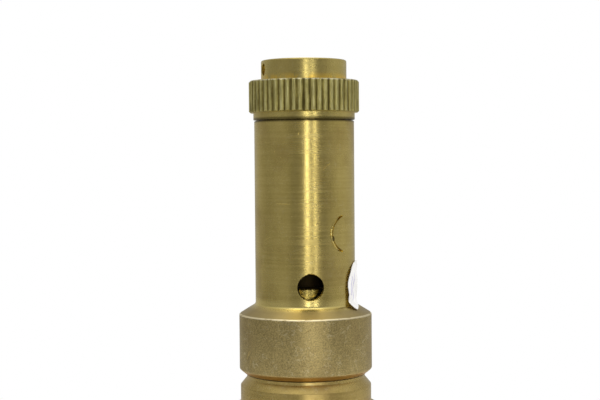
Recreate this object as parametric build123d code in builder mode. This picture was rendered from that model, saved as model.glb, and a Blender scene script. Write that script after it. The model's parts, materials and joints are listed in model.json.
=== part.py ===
from build123d import *
import os

# Free-blowing pressure relief valve, millimetres, upright along +Z.
# The origin is the centre of the sealing shoulder above the inlet thread.
# The first blow-off hole looks along -Y. Angles round the valve are measured
# from -Y towards +X.

# Clearances: running fits, and loose fits round screws and washers
run_gap = 0.05
close_gap = 0.02
loose_gap = 0.2
cap_thread_gap = 0.06

# Depth that a drilled hole's tool runs past the skin, and how close two heights count as one
past_skin = 1.0
same_height = 0.01

# Inlet end
thread_major_r = 26.441 / 2
thread_root_r = 24.117 / 2
thread_pitch = 1.814
thread_crest = 0.7
thread_flank = 0.33
thread_turns = 7
thread_start_z = -2.9
inlet_end_z = -16.0
inlet_end_edge = 0.4
inlet_bore_r = 8.0
inlet_bore_edge = 0.6
bore_cone_low_z = 22.0
bore_cone_top_z = 27.0
shoulder_r = 16.5
shoulder_h = 1.2
seal_groove_out_r = 15.6
seal_groove_in_r = 13.6
seal_groove_h = 1.6
hex_flats = 36.0
hex_top_z = 13.0
hex_edge = 0.4
hex_cone_slope = 0.577
body_r = 16.33
body_edge_z = 18.0
groove_r = 14.75
groove_low_z = 19.9
joint_z = 20.6
boss_r = 12.95
boss_top_z = 32.0
boss_edge = 0.6
nozzle_r = 8.2
nozzle_top_z = 33.6

# Seat
seat_bore_r = 5.5
seat_ring_r = 6.9
seat_ring_low_z = 31.0
seat_z = 35.6
seat_land = 0.5
seat_edge = 0.3

# Spring housing
collar_r = 16.56
collar_low_z = 22.1
collar_top_z = 35.9
collar_edge = 0.3
cone_top_z = 38.25
barrel_r = 12.45
barrel_top_z = 83.75
neck_r = 11.0
neck_top_z = 88.3
neck_edge = 0.5
barrel_edge = 0.15
barrel_root_fillet = 0.6
socket_r = 13.0
socket_edge = 0.4
washer_out_r = 12.8
washer_in_r = 10.4
washer_top_z = 33.0
chamber_r = 10.0
web_low_z = 50.6
web_top_z = 53.4
web_bore_r = 4.5
bush_flange_r = 6.0
bush_flange_h = 0.5
spring_bore_r = 9.6
adjuster_thread_low_z = 79.0
adjuster_thread_edge = 0.6
blow_off_r = 3.25
blow_off_z = 43.15
blow_off_count = 3

# Disc and its soft facing
disc_r = 8.7
disc_low_z = 34.9
disc_top_z = 42.7
disc_edge = 0.4
skirt_gap = 0.5
hub_r = 5.4
hub_top_z = 46.0
hub_edge = 0.3
foot_bore_r = 3.65
foot_floor_z = 42.0
seal_r = 7.2
seal_top_z = 38.0
seal_washer_r = 4.6
screw_r = 1.5
screw_head_r = 2.75
screw_head_h = 1.5
screw_key = 2.5
screw_key_depth = 1.1
screw_top_z = 39.4
screw_hole_top_z = 39.6
ball_r = 1.5
ball_z = 41.8
snap_ring_z = 44.4
snap_ring_h = 0.75
snap_groove_depth = 0.85
snap_ring_r = foot_bore_r + snap_groove_depth - run_gap
snap_ring_mouth = 1.5

# Spindle and springs
foot_r = 3.5
foot_low_z = 42.4
foot_top_z = 44.2
foot_neck_r = 2.5
foot_neck_top_z = 46.3
step_z = 54.6
spindle_r = 3.0
spindle_top_z = 98.6
spindle_edge = 0.4
plate_r = 8.6
plate_h = 2.4
plate_spigot_r = 5.2
plate_spigot_h = 1.6
upper_plate_low_z = 77.4
wire_r = 1.2
coil_r = 6.75
coil_pitch = 3.8
coil_end_sink = 0.3

# Adjuster
adjuster_r = 8.95
adjuster_low_z = 80.0
adjuster_top_z = 91.3
adjuster_key = 10.0
adjuster_key_depth = 5.3
lock_nut_r = 10.5
lock_nut_h = 2.5
lock_nut_slots = 4
lock_nut_slot_depth = 0.7
lock_nut_slot_width = 2.2
adjuster_edge = 0.5

# Lifting cap
joint_gap = 0.35
lip_r = 12.65
lip_h = 1.65
lip_edge = 0.1
knurl_r = 13.75
knurl_h = 7.95
knurl_edge = 0.4
knurl_teeth = 54
knurl_depth = 0.42
head_r = 10.65
head_top_z = 98.75
head_edge = 0.25
cap_bore_r = neck_r + cap_thread_gap
cap_web_low_z = 91.9
cap_web_top_z = 94.6
cup_r = 8.0
cup_edge = 0.3
cap_web_bore_r = 3.6
wire_hole_r = 1.5
wire_hole_z = 96.4
wire_hole_angle = -78.2
slip_washer_h = 0.8
nut_flats = 10.0
nut_h = 3.0
nut_pin_r = 0.75
nut_pin_z = 97.2

# Label
label_r = 6.0
label_z = 42.9
label_angle = 78.4
label_thick = 0.15
label_off = 0.1
label_bend_z = 39.2
label_foot_r = 15.15
label_foot_z = 36.8


def turned(*points, mode=Mode.ADD):
    """Turns a closed (radius, height) outline about the valve's axis."""
    with BuildSketch(Plane.XZ) as outline:
        with BuildLine():
            Polyline(*points, close=True)
        make_face()
    revolve(outline.sketch, axis=Axis.Z, mode=mode)


def tube(outer_r, inner_r, low_z, high_z, mode=Mode.ADD):
    """A plain ring between two heights."""
    turned((inner_r, low_z), (outer_r, low_z), (outer_r, high_z), (inner_r, high_z), mode=mode)


def facing(angle, z):
    """A plane on the axis at height z that looks outwards at an angle round the valve."""
    outwards = Vector(0, -1, 0).rotate(Axis.Z, angle)
    sideways = Vector(1, 0, 0).rotate(Axis.Z, angle)
    return Plane(origin=(0, 0, z), x_dir=sideways, z_dir=outwards)


def thread_outline():
    """Root and crest points of the inlet thread, from the shoulder down."""
    points = []
    for turn in range(thread_turns):
        crest_z = thread_start_z - turn * thread_pitch
        points.append((thread_root_r, crest_z + thread_flank))
        points.append((thread_major_r, crest_z))
        points.append((thread_major_r, crest_z - thread_crest))
        points.append((thread_root_r, crest_z - thread_crest - thread_flank))
    return points


os.makedirs("parts", exist_ok=True)

# Inlet body: wrench flats, threaded inlet below, threaded boss and nozzle above
hex_corner_r = hex_flats / 3**0.5
hex_chamfer_r = hex_flats / 2 - hex_edge
hex_chamfer_h = (hex_corner_r - hex_chamfer_r) * hex_cone_slope
with BuildPart() as inlet_body:
    with BuildSketch(Plane.XY.offset(shoulder_h)):
        RegularPolygon(hex_flats / 2, 6, major_radius=False)
    extrude(amount=hex_top_z - shoulder_h)
    turned(
        (0, shoulder_h),
        (hex_chamfer_r, shoulder_h),
        (hex_corner_r, shoulder_h + hex_chamfer_h),
        (hex_corner_r, hex_top_z - hex_chamfer_h),
        (hex_chamfer_r, hex_top_z),
        (0, hex_top_z),
        mode=Mode.INTERSECT,
    )
    turned(
        (0, boss_top_z),
        (boss_r - boss_edge, boss_top_z),
        (boss_r, boss_top_z - boss_edge),
        (boss_r, joint_z),
        (groove_r, joint_z),
        (groove_r, groove_low_z),
        (body_r, body_edge_z),
        (body_r, hex_top_z),
        (0, hex_top_z),
    )
    turned(
        (0, shoulder_h),
        (shoulder_r, shoulder_h),
        (shoulder_r, 0),
        (thread_root_r, 0),
        *thread_outline(),
        (thread_root_r, inlet_end_z + inlet_end_edge),
        (thread_root_r - inlet_end_edge, inlet_end_z),
        (0, inlet_end_z),
    )
    tube(nozzle_r, seat_bore_r, boss_top_z, nozzle_top_z)
    turned(
        (0, inlet_end_z),
        (inlet_bore_r + inlet_bore_edge, inlet_end_z),
        (inlet_bore_r, inlet_end_z + inlet_bore_edge),
        (inlet_bore_r, bore_cone_low_z),
        (seat_bore_r, bore_cone_top_z),
        (seat_bore_r, seat_ring_low_z),
        (seat_ring_r, seat_ring_low_z),
        (seat_ring_r, nozzle_top_z),
        (0, nozzle_top_z),
        mode=Mode.SUBTRACT,
    )
    # Groove in the shoulder for the soft ring
    tube(seal_groove_out_r, seal_groove_in_r, 0, seal_groove_h, mode=Mode.SUBTRACT)
inlet_body.part.label = "inlet_body"

with BuildPart() as inlet_seal_ring:
    tube(seal_groove_out_r - run_gap, seal_groove_in_r + run_gap, 0, seal_groove_h)
inlet_seal_ring.part.label = "inlet_seal_ring"

with BuildPart() as seat_ring:
    turned(
        (seat_bore_r, seat_ring_low_z),
        (seat_ring_r, seat_ring_low_z),
        (seat_ring_r, seat_z - 2 * seat_land),
        (seat_ring_r - seat_land, seat_z),
        (seat_bore_r + seat_edge, seat_z),
        (seat_bore_r, seat_z - seat_edge),
    )
seat_ring.part.label = "seat_ring"

with BuildPart() as body_joint_washer:
    tube(washer_out_r, washer_in_r, boss_top_z, washer_top_z)
body_joint_washer.part.label = "body_joint_washer"

# Spring housing: collar, cone and barrel, with the blow-off chamber below the web
with BuildPart() as spring_housing:
    turned(
        (socket_r + socket_edge, joint_z),
        (groove_r, joint_z),
        (collar_r, collar_low_z),
        (collar_r, collar_top_z - collar_edge),
        (collar_r - collar_edge, collar_top_z),
        (barrel_r, cone_top_z),
        (barrel_r, barrel_top_z - barrel_edge),
        (barrel_r - barrel_edge, barrel_top_z),
        (neck_r, barrel_top_z),
        (neck_r, neck_top_z - neck_edge),
        (neck_r - neck_edge, neck_top_z),
        (adjuster_r + run_gap, neck_top_z),
        (adjuster_r + run_gap, adjuster_thread_low_z),
        (spring_bore_r, adjuster_thread_low_z - adjuster_thread_edge),
        (spring_bore_r, web_top_z),
        (web_bore_r, web_top_z),
        (web_bore_r, web_low_z),
        (chamber_r, web_low_z),
        (chamber_r, washer_top_z),
        (socket_r, washer_top_z),
        (socket_r, joint_z + socket_edge),
    )
    cone_root = spring_housing.edges().filter_by(GeomType.CIRCLE).filter_by(
        lambda edge: abs(edge.center().Z - cone_top_z) < same_height
    )
    fillet(cone_root, radius=barrel_root_fillet)
    for hole in range(blow_off_count):
        with BuildSketch(facing(hole * 360 / blow_off_count, blow_off_z)):
            Circle(blow_off_r)
        extrude(amount=barrel_r + past_skin, mode=Mode.SUBTRACT)
spring_housing.part.label = "spring_housing"

with BuildPart() as guide_bush:
    tube(web_bore_r - run_gap, foot_r + run_gap, web_low_z, web_top_z)
    tube(bush_flange_r, foot_r + run_gap, web_top_z, web_top_z + bush_flange_h)
guide_bush.part.label = "guide_bush"

# Disc: skirt round the soft facing below, hub with the spindle's socket above
with BuildPart() as valve_disc:
    turned(
        (seal_r + skirt_gap, disc_low_z),
        (disc_r, disc_low_z),
        (disc_r, disc_top_z - disc_edge),
        (disc_r - disc_edge, disc_top_z),
        (hub_r, disc_top_z),
        (hub_r, hub_top_z - hub_edge),
        (hub_r - hub_edge, hub_top_z),
        (foot_bore_r, hub_top_z),
        (foot_bore_r, snap_ring_z + snap_ring_h + run_gap),
        (foot_bore_r + snap_groove_depth, snap_ring_z + snap_ring_h + run_gap),
        (foot_bore_r + snap_groove_depth, snap_ring_z - run_gap),
        (foot_bore_r, snap_ring_z - run_gap),
        (foot_bore_r, foot_floor_z),
        (ball_r + run_gap, foot_floor_z),
        (ball_r + run_gap, ball_z - ball_r),
        (0, ball_z - ball_r),
        (0, screw_hole_top_z),
        (screw_r + close_gap, screw_hole_top_z),
        (screw_r + close_gap, seal_top_z),
        (seal_r, seal_top_z),
        (seal_r, seat_z),
    )
valve_disc.part.label = "valve_disc"

with BuildPart() as disc_seal:
    tube(seal_r - close_gap, screw_r + loose_gap, seat_z, seal_top_z)
disc_seal.part.label = "disc_seal"

with BuildPart() as seal_washer:
    tube(seal_washer_r, screw_r + loose_gap, disc_low_z, seat_z)
seal_washer.part.label = "seal_washer"

with BuildPart() as seal_screw:
    tube(screw_head_r, 0, disc_low_z - screw_head_h, disc_low_z)
    tube(screw_r, 0, disc_low_z, screw_top_z)
    with BuildSketch(Plane.XY.offset(disc_low_z - screw_head_h)):
        RegularPolygon(screw_key / 2, 6, major_radius=False)
    extrude(amount=screw_key_depth, mode=Mode.SUBTRACT)
seal_screw.part.label = "seal_screw"

with BuildPart(Plane.XY.offset(ball_z)) as thrust_ball:
    Sphere(ball_r)
thrust_ball.part.label = "thrust_ball"

# Open ring that springs into the groove over the spindle's foot
with BuildPart() as spindle_snap_ring:
    tube(snap_ring_r, foot_neck_r + loose_gap, snap_ring_z, snap_ring_z + snap_ring_h)
    with BuildSketch(Plane.XY.offset(snap_ring_z)):
        with Locations((foot_bore_r, 0)):
            Rectangle(2 * snap_ring_mouth, snap_ring_mouth)
    extrude(amount=snap_ring_h, mode=Mode.SUBTRACT)
spindle_snap_ring.part.label = "spindle_snap_ring"

with BuildPart() as spindle:
    turned(
        (0, ball_z + ball_r),
        (ball_r + run_gap, ball_z + ball_r),
        (ball_r + run_gap, foot_low_z),
        (foot_r, foot_low_z),
        (foot_r, foot_top_z),
        (foot_neck_r, foot_top_z),
        (foot_neck_r, foot_neck_top_z),
        (foot_r, foot_neck_top_z),
        (foot_r, step_z),
        (spindle_r, step_z),
        (spindle_r, spindle_top_z - spindle_edge),
        (spindle_r - spindle_edge, spindle_top_z),
        (0, spindle_top_z),
    )
    with BuildSketch(Plane.YZ):
        with Locations((0, nut_pin_z)):
            Circle(nut_pin_r + close_gap)
    extrude(amount=nut_flats, both=True, mode=Mode.SUBTRACT)
spindle.part.label = "spindle"

# Spring plates: a flange that the spring stands on and a spigot inside it
with BuildPart() as lower_spring_plate:
    tube(plate_r, spindle_r + close_gap, step_z, step_z + plate_h)
    tube(plate_spigot_r, spindle_r + close_gap, step_z + plate_h, step_z + plate_h + plate_spigot_h)
lower_spring_plate.part.label = "lower_spring_plate"

with BuildPart() as upper_spring_plate:
    tube(plate_r, spindle_r + loose_gap, upper_plate_low_z, adjuster_low_z)
    tube(plate_spigot_r, spindle_r + loose_gap, upper_plate_low_z - plate_spigot_h, upper_plate_low_z)
upper_spring_plate.part.label = "upper_spring_plate"

# Spring with ground ends, standing between the two plates
spring_low_z = step_z + plate_h
spring_h = upper_plate_low_z - spring_low_z
with BuildPart() as pressure_spring:
    with BuildLine():
        coil = Helix(
            pitch=coil_pitch,
            height=spring_h - 2 * coil_end_sink,
            radius=coil_r,
            center=(0, 0, spring_low_z + coil_end_sink),
        )
    with BuildSketch(Plane(origin=coil @ 0, z_dir=coil % 0)):
        Circle(wire_r)
    sweep(path=coil, is_frenet=True)
    tube(coil_r + 2 * wire_r, coil_r - 2 * wire_r, spring_low_z, upper_plate_low_z, mode=Mode.INTERSECT)
pressure_spring.part.label = "pressure_spring"

with BuildPart() as adjusting_screw:
    tube(adjuster_r, spindle_r + 2 * run_gap, adjuster_low_z, adjuster_top_z)
    with BuildSketch(Plane.XY.offset(adjuster_top_z - adjuster_key_depth)):
        RegularPolygon(adjuster_key / 2, 6, major_radius=False)
    extrude(amount=adjuster_key_depth, mode=Mode.SUBTRACT)
    chamfer(adjusting_screw.edges().group_by(Axis.Z)[0].sort_by(SortBy.RADIUS)[-1], length=adjuster_edge)
adjusting_screw.part.label = "adjusting_screw"

with BuildPart() as adjuster_lock_nut:
    tube(lock_nut_r, adjuster_r + run_gap, neck_top_z, neck_top_z + lock_nut_h)
    with BuildSketch(Plane.XY.offset(neck_top_z)):
        with PolarLocations(lock_nut_r, lock_nut_slots):
            Rectangle(2 * lock_nut_slot_depth, lock_nut_slot_width)
    extrude(amount=lock_nut_h, mode=Mode.SUBTRACT)
adjuster_lock_nut.part.label = "adjuster_lock_nut"

# Lifting cap: lip, knurled ring and head, bored to the housing's neck thread
lip_low_z = barrel_top_z + joint_gap
knurl_low_z = lip_low_z + lip_h
knurl_top_z = knurl_low_z + knurl_h
with BuildPart() as lifting_cap:
    with BuildSketch(Plane.XY.offset(knurl_low_z)):
        Circle(knurl_r)
        with PolarLocations(knurl_r, knurl_teeth):
            Rectangle(2**0.5 * knurl_depth, 2**0.5 * knurl_depth, rotation=45, mode=Mode.SUBTRACT)
    extrude(amount=knurl_h)
    turned(
        (0, knurl_low_z),
        (knurl_r - knurl_edge, knurl_low_z),
        (knurl_r, knurl_low_z + knurl_edge),
        (knurl_r, knurl_top_z - knurl_edge),
        (knurl_r - knurl_edge, knurl_top_z),
        (0, knurl_top_z),
        mode=Mode.INTERSECT,
    )
    turned(
        (0, lip_low_z),
        (lip_r - lip_edge, lip_low_z),
        (lip_r, lip_low_z + lip_edge),
        (lip_r, knurl_low_z),
        (0, knurl_low_z),
    )
    turned(
        (0, knurl_top_z),
        (head_r, knurl_top_z),
        (head_r, head_top_z - head_edge),
        (head_r - head_edge, head_top_z),
        (0, head_top_z),
    )
    turned(
        (0, lip_low_z),
        (cap_bore_r, lip_low_z),
        (cap_bore_r, cap_web_low_z),
        (cap_web_bore_r, cap_web_low_z),
        (cap_web_bore_r, cap_web_top_z),
        (cup_r, cap_web_top_z),
        (cup_r, head_top_z - cup_edge),
        (cup_r + cup_edge, head_top_z),
        (0, head_top_z),
        mode=Mode.SUBTRACT,
    )
    with BuildSketch(facing(wire_hole_angle, wire_hole_z)):
        Circle(wire_hole_r)
    extrude(amount=head_r + past_skin, both=True, mode=Mode.SUBTRACT)
lifting_cap.part.label = "lifting_cap"

nut_low_z = cap_web_top_z + slip_washer_h
with BuildPart() as slip_washer:
    tube(cup_r - 2 * loose_gap, spindle_r + loose_gap, cap_web_top_z, nut_low_z)
slip_washer.part.label = "slip_washer"

with BuildPart() as spindle_nut:
    with BuildSketch(Plane.XY.offset(nut_low_z)):
        RegularPolygon(nut_flats / 2, 6, major_radius=False)
        Circle(spindle_r + close_gap, mode=Mode.SUBTRACT)
    extrude(amount=nut_h)
    with BuildSketch(Plane.YZ):
        with Locations((0, nut_pin_z)):
            Circle(nut_pin_r + close_gap)
    extrude(amount=nut_flats, both=True, mode=Mode.SUBTRACT)
spindle_nut.part.label = "spindle_nut"

with BuildPart() as nut_lock_pin:
    with BuildSketch(Plane.YZ.offset(-nut_flats / 2)):
        with Locations((0, nut_pin_z)):
            Circle(nut_pin_r)
    extrude(amount=nut_flats)
nut_lock_pin.part.label = "nut_lock_pin"

# Round paper label: wrapped on the barrel, its lower end standing out over the cone
with BuildPart() as inspection_label:
    turned(
        (barrel_r + label_off, label_z + label_r),
        (barrel_r + label_off, label_bend_z),
        (label_foot_r, label_foot_z),
        (label_foot_r + label_thick, label_foot_z),
        (barrel_r + label_off + label_thick, label_bend_z),
        (barrel_r + label_off + label_thick, label_z + label_r),
    )
    with BuildSketch(facing(label_angle, label_z)):
        Circle(label_r)
    extrude(amount=collar_r, mode=Mode.INTERSECT)
inspection_label.part.label = "inspection_label"

pieces = [
    inlet_body,
    inlet_seal_ring,
    seat_ring,
    body_joint_washer,
    spring_housing,
    guide_bush,
    valve_disc,
    disc_seal,
    seal_washer,
    seal_screw,
    thrust_ball,
    spindle_snap_ring,
    spindle,
    lower_spring_plate,
    upper_spring_plate,
    pressure_spring,
    adjusting_screw,
    adjuster_lock_nut,
    lifting_cap,
    slip_washer,
    spindle_nut,
    nut_lock_pin,
    inspection_label,
]
for piece in pieces:
    export_step(piece.part, f"parts/{piece.part.label}.step")
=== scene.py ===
import json
from math import atan2, cos, pi, radians, sin, tau
import bpy
import bmesh
from mathutils import Matrix, Vector


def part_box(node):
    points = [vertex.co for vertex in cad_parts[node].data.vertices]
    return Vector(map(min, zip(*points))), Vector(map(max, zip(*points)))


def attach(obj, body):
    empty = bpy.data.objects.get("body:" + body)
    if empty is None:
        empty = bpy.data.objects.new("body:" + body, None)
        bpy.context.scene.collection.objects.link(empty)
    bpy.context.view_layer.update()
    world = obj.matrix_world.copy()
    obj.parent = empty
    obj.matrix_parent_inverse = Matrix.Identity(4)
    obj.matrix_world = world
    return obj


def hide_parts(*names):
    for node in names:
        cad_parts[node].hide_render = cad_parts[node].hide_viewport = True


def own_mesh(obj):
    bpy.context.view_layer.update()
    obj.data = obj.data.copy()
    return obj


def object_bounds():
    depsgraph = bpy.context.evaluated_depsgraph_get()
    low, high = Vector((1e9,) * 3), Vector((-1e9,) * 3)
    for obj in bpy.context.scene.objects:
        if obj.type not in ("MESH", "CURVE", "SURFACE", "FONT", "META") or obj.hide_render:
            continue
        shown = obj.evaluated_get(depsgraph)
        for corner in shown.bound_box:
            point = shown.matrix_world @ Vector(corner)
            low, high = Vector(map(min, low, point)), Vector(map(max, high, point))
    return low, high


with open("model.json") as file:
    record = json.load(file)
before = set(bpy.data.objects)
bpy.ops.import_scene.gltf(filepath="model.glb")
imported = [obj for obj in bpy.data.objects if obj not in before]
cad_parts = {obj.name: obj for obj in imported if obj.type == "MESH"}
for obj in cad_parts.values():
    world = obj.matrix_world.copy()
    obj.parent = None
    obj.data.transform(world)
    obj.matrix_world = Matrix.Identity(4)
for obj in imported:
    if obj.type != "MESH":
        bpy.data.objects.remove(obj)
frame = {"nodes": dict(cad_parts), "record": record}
cadLow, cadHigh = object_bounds()
scene = bpy.context.scene
nodes = frame["nodes"]
mm = 0.001
print("frame loaded:", len(nodes), "nodes")


cameraLook = {
    "azimuth": -6.2,      # degrees round from the first blow-off hole
    "distance": 325.0,    # mm from the valve's axis
    "height": 73.5,       # mm above the sealing shoulder
    "lens": 78.0,
    "tiltDown": 1.67,
    "turnLeft": 0.205,
    "roll": -0.43,
}


def outwards(azimuth):
    # level direction that leaves the axis at an angle round the valve
    turn = radians(azimuth)
    return Vector((sin(turn), -cos(turn), 0))


def around(azimuth, distance, height):
    # place beside the valve, from an angle and two sizes in mm
    place = outwards(azimuth) * distance
    place.z = height
    return place * mm


def makeCamera(look):
    camera = bpy.data.objects.new("camera", bpy.data.cameras.new("camera"))
    scene.collection.objects.link(camera)
    camera.data.lens = look["lens"]
    camera.data.sensor_width = 36
    camera.data.clip_start = 0.01
    place = around(look["azimuth"], look["distance"], look["height"])
    facing = Matrix.Rotation(radians(look["azimuth"] + look["turnLeft"]), 4, "Z")
    facing = facing @ Matrix.Rotation(radians(90 - look["tiltDown"]), 4, "X")
    facing = facing @ Matrix.Rotation(radians(look["roll"]), 4, "Z")
    camera.matrix_world = Matrix.Translation(place) @ facing
    scene.camera = camera


lightLook = {
    "white": (1.0, 0.985, 0.95),
    "aim": 50,            # height that every lamp looks at, mm
    # degrees right of the camera, distance, height, width, tall (mm), watts
    "strips": [
        (6.0, 700, 90, 58, 520, 0.42),
        (24.0, 700, 90, 40, 480, 0.22),
    ],
    "fill": (75.0, 560, 120, 320, 420, 1.7),     # lights paper and floor, not mirrored in the brass
    "top": (620, 420, 420, 0.7),                 # height, width, tall (mm), watts
}


def makeArea(name, place, aim, width, tall, power):
    lamp = bpy.data.objects.new(name, bpy.data.lights.new(name, "AREA"))
    scene.collection.objects.link(lamp)
    lamp.data.shape = "RECTANGLE"
    lamp.data.size = width * mm
    lamp.data.size_y = tall * mm
    lamp.data.energy = power
    lamp.data.color = lightLook["white"]
    lamp.location = place
    lamp.rotation_euler = (Vector(aim) - Vector(place)).to_track_quat("-Z", "Y").to_euler()
    return lamp


def makeLights(look):
    facing = cameraLook["azimuth"]
    aim = (0, 0, look["aim"] * mm)
    for count, (azimuth, distance, height, width, tall, power) in enumerate(look["strips"]):
        makeArea(f"strip{count}", around(facing + azimuth, distance, height), aim, width, tall, power)
    azimuth, distance, height, width, tall, power = look["fill"]
    fill = makeArea("fill", around(facing + azimuth, distance, height), aim, width, tall, power)
    fill.visible_glossy = False
    height, width, tall, power = look["top"]
    makeArea("topBox", (0, 0, height * mm), aim, width, tall, power)


roomLook = {
    # degrees right of the camera, brightness of the room there
    "round": [
        (-180, 0.44), (-149, 0.42), (-115, 0.33), (-93, 0.27), (-74, 0.30), (-42, 0.32), (-26, 0.22),
        (0, 0.20), (28, 0.20), (44, 0.20), (60, 0.33), (74, 0.38), (93, 0.44), (115, 0.42), (149, 0.42),
        (180, 0.44),
    ],
    "overhead": 0.75,
    "seen": 1.0,          # what the camera sees behind the object
}


def addNode(tree, kind, settings, inputs):
    # a node with its settings first, then the links or values of its inputs
    made = tree.nodes.new(kind)
    for key, value in settings.items():
        setattr(made, key, value)
    for key, value in inputs.items():
        if isinstance(value, bpy.types.NodeSocket):
            tree.links.new(value, made.inputs[key])
        elif value is not None:
            made.inputs[key].default_value = value
    return made


def makeRoom(look):
    world = bpy.data.worlds.new("room")
    scene.world = world
    world.use_nodes = True
    tree = world.node_tree

    def node(kind, settings, inputs):
        return addNode(tree, kind, settings, inputs)

    coords = node("ShaderNodeTexCoord", {}, {}).outputs["Generated"]
    ahead = outwards(cameraLook["azimuth"])
    right = outwards(cameraLook["azimuth"] + 90)
    dot = {"operation": "DOT_PRODUCT"}
    ahead = node("ShaderNodeVectorMath", dot, {0: coords, 1: ahead}).outputs["Value"]
    right = node("ShaderNodeVectorMath", dot, {0: coords, 1: right}).outputs["Value"]
    turn = node("ShaderNodeMath", {"operation": "ARCTAN2"}, {0: right, 1: ahead}).outputs[0]
    share = node("ShaderNodeMapRange", {}, {"Value": turn, "From Min": -pi, "From Max": pi}).outputs[0]
    shade = node("ShaderNodeValToRGB", {}, {"Fac": share})
    stops = shade.color_ramp.elements
    while len(stops) < len(look["round"]):
        stops.new(0.5)
    for stop, (angle, level) in zip(stops, look["round"]):
        stop.position = (angle + 180) / 360
        stop.color = (level, level * 0.99, level * 0.96, 1)
    up = node("ShaderNodeSeparateXYZ", {}, {0: coords}).outputs["Z"]
    high = node("ShaderNodeMapRange", {}, {"Value": up, "From Min": 0.5, "From Max": 0.95}).outputs[0]
    above = (look["overhead"],) * 3 + (1,)
    shade = node("ShaderNodeMix", {"data_type": "RGBA"}, {0: high, 6: shade.outputs["Color"], 7: above})
    ray = node("ShaderNodeLightPath", {}, {}).outputs["Is Camera Ray"]
    white = (look["seen"],) * 3 + (1,)
    pick = node("ShaderNodeMix", {"data_type": "RGBA"}, {0: ray, 6: shade.outputs[2], 7: white})
    tree.links.new(pick.outputs[2], tree.nodes["Background"].inputs["Color"])
    scene.view_settings.view_transform = "Standard"


makeCamera(cameraLook)
makeLights(lightLook)
makeRoom(roomLook)
print("camera and lights placed")


class Value:
    # a socket that takes + - * and powers
    def __init__(self, finish, socket):
        self.finish = finish
        self.socket = socket

    def math(self, operation, first, second=None):
        return self.finish.node("ShaderNodeMath", {"operation": operation}, {0: first, 1: second})

    def __add__(self, other):
        return self.math("ADD", self, other)

    def __radd__(self, other):
        return self.math("ADD", other, self)

    def __sub__(self, other):
        return self.math("SUBTRACT", self, other)

    def __rsub__(self, other):
        return self.math("SUBTRACT", other, self)

    def __mul__(self, other):
        return self.math("MULTIPLY", self, other)

    def __rmul__(self, other):
        return self.math("MULTIPLY", other, self)

    def __pow__(self, other):
        return self.math("POWER", self, other)


class Finish:
    # one material, with Principled constants set straight on its shader
    def __init__(self, name, constants):
        self.material = bpy.data.materials.new(name)
        self.material.use_nodes = True
        self.tree = self.material.node_tree
        self.shader = self.tree.nodes["Principled BSDF"]
        for key, value in constants.items():
            self.shader.inputs[key].default_value = value
        self.place = self.node("ShaderNodeTexCoord", {}, {}, "Object")

    def node(self, kind, settings, inputs, out=0):
        sockets = {}
        for key, value in inputs.items():
            sockets[key] = value.socket if isinstance(value, Value) else value
        return Value(self, addNode(self.tree, kind, settings, sockets).outputs[out])

    def feed(self, key, value):
        self.tree.links.new(value.socket, self.shader.inputs[key])

    def parts(self):
        # x, y, z of the place on the object, in mm
        split = self.node("ShaderNodeSeparateXYZ", {}, {0: self.place}).socket.node
        return tuple(Value(self, out) * 1000 for out in split.outputs)

    def radius(self):
        x, y, z = self.parts()
        return (x * x + y * y) ** 0.5

    def joined(self, x, y, z):
        return self.node("ShaderNodeCombineXYZ", {}, {0: x, 1: y, 2: z})

    def stretched(self, x, y, z):
        # the place times a scale for each axis, per mm
        scale = (x * 1000, y * 1000, z * 1000)
        return self.node("ShaderNodeMapping", {}, {"Vector": self.place, "Scale": scale})

    def noise(self, where, scale=1.0, detail=3.0, roughness=0.5, distortion=0.0):
        inputs = {"Vector": where, "Scale": scale, "Detail": detail}
        inputs.update({"Roughness": roughness, "Distortion": distortion})
        return self.node("ShaderNodeTexNoise", {}, inputs)

    def cells(self, where):
        return self.node("ShaderNodeTexVoronoi", {}, {"Vector": where, "Scale": 1.0})

    def between(self, value, low, high, start=0.0, end=1.0):
        # remaps low..high to start..end, clamped and eased
        settings = {"interpolation_type": "SMOOTHSTEP"}
        inputs = {"Value": value, "From Min": low, "From Max": high, "To Min": start, "To Max": end}
        return self.node("ShaderNodeMapRange", settings, inputs)

    def mix(self, share, first, second):
        settings = {"data_type": "RGBA"}
        first = (*first, 1) if isinstance(first, tuple) else first
        second = (*second, 1) if isinstance(second, tuple) else second
        return self.node("ShaderNodeMix", settings, {0: share, 6: first, 7: second}, 2)

    def bump(self, height, depth):
        # height runs 0 to 1 and stands for depth mm
        return self.node("ShaderNodeBump", {}, {"Height": height, "Distance": depth * mm, "Strength": 1.0})


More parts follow.
